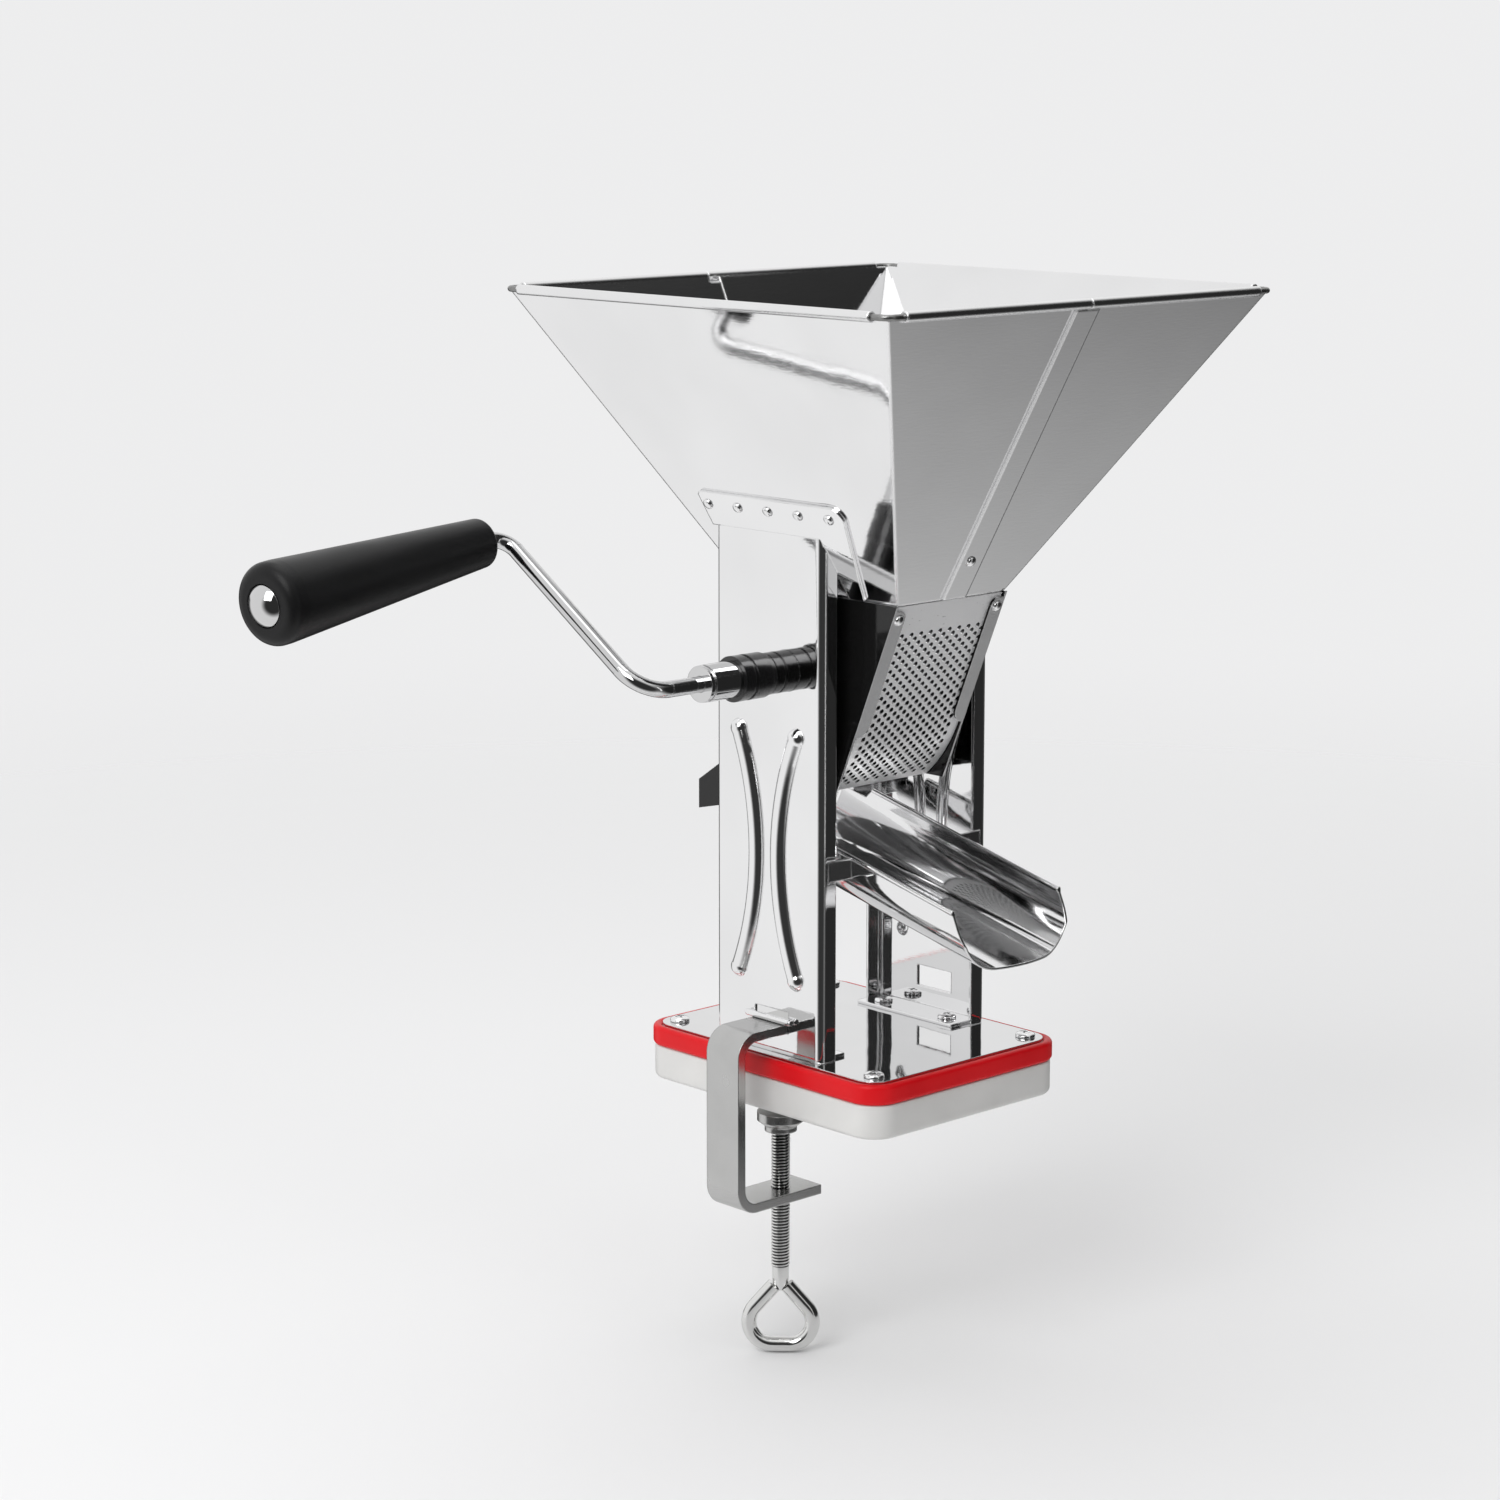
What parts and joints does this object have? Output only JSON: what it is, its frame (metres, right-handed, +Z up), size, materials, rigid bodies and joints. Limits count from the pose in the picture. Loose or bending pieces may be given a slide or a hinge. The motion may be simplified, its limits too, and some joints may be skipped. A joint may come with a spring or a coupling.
{
  "type": "tomato strainer",
  "caption": "Hand-cranked tomato strainer: square steel hopper, rotor in a curved perforated screen, juice and skins chutes, side panels, red-rimmed base and a screw clamp.",
  "frame": {"origin": "centre of the underside of the base, where it sits on the table", "axes": "X along the crank axis with the crank at -X, Y with the juice chute pouring toward -Y, Z up"},
  "size_m": [0.2852, 0.17, 0.3389],
  "materials": {
    "hopper_steel": "polished stainless sheet",
    "wire_steel": "drawn steel wire",
    "panel_steel": "mirror-polished stainless sheet",
    "housing_steel": "polished stainless sheet",
    "screen_steel": "perforated stainless sheet",
    "fasteners": "bright rivets and screws",
    "rotor_plastic": "food-grade plastic",
    "bush_plastic": "smooth plain bearing plastic",
    "collar_metal": "dark polished metal",
    "chrome_parts": "chrome-plated steel",
    "black_plastic": "satin black moulding",
    "white_plastic": "smooth satin moulding",
    "red_gasket": "smooth glossy rubber",
    "clamp_zinc": "satin zinc plating"
  },
  "bodies": {
    "machine": {"hopper_left": "hopper_steel", "hopper_right": "hopper_steel", "rim_wire": "wire_steel", "seam_rivets": "fasteners", "panel_near": "panel_steel", "panel_far": "panel_steel", "flange_rivets": "fasteners", "cheek_near": "housing_steel", "cheek_far": "housing_steel", "rear_wall": "housing_steel", "housing_rivets": "fasteners", "screen": "screen_steel", "skins_chute": "housing_steel", "bush_near": "bush_plastic", "bush_far": "bush_plastic", "hub_collar": "collar_metal", "juice_chute": "panel_steel", "base_box": "white_plastic", "base_gasket": "red_gasket", "base_plate": "panel_steel", "plate_screws": "fasteners", "foot_screws": "fasteners", "clamp_bar": "clamp_zinc", "clamp_stop": "fasteners"},
    "crank": {"rotor": "rotor_plastic", "shaft": "chrome_parts", "coupling_ring": "black_plastic", "crank_sleeve": "chrome_parts", "crank_rod": "chrome_parts", "pin_cap": "chrome_parts"},
    "handle": {"grip": "black_plastic"},
    "pad": {"clamp_pad": "clamp_zinc"},
    "screw": {"clamp_screw": "clamp_zinc"}
  },
  "joints": [
    {"name": "crank_turn", "type": "hinge", "parent": "machine", "child": "crank", "pos_m": [0, -0.008, 0.14], "axis": [1, 0, 0], "continuous": true},
    {"name": "grip_spin", "type": "hinge", "parent": "crank", "child": "handle", "pos_m": [-0.096, 0.05603, 0.18095], "axis": [-0.9848, -0.1463, -0.0936], "continuous": true},
    {"name": "clamp_travel", "type": "slide", "parent": "machine", "child": "pad", "axis": [0, 0, -1], "range_m": [-0.0018, 0.0142]},
    {"name": "clamp_turn", "type": "hinge", "parent": "pad", "child": "screw", "pos_m": [-0.033, -0.002, -0.03], "axis": [0, 0, -1], "range_deg": [-648, 5112]}
  ],
  "couplings": [
    {"joint": "clamp_turn", "follows": "clamp_travel", "rad_per_m": 6283.2}
  ]
}
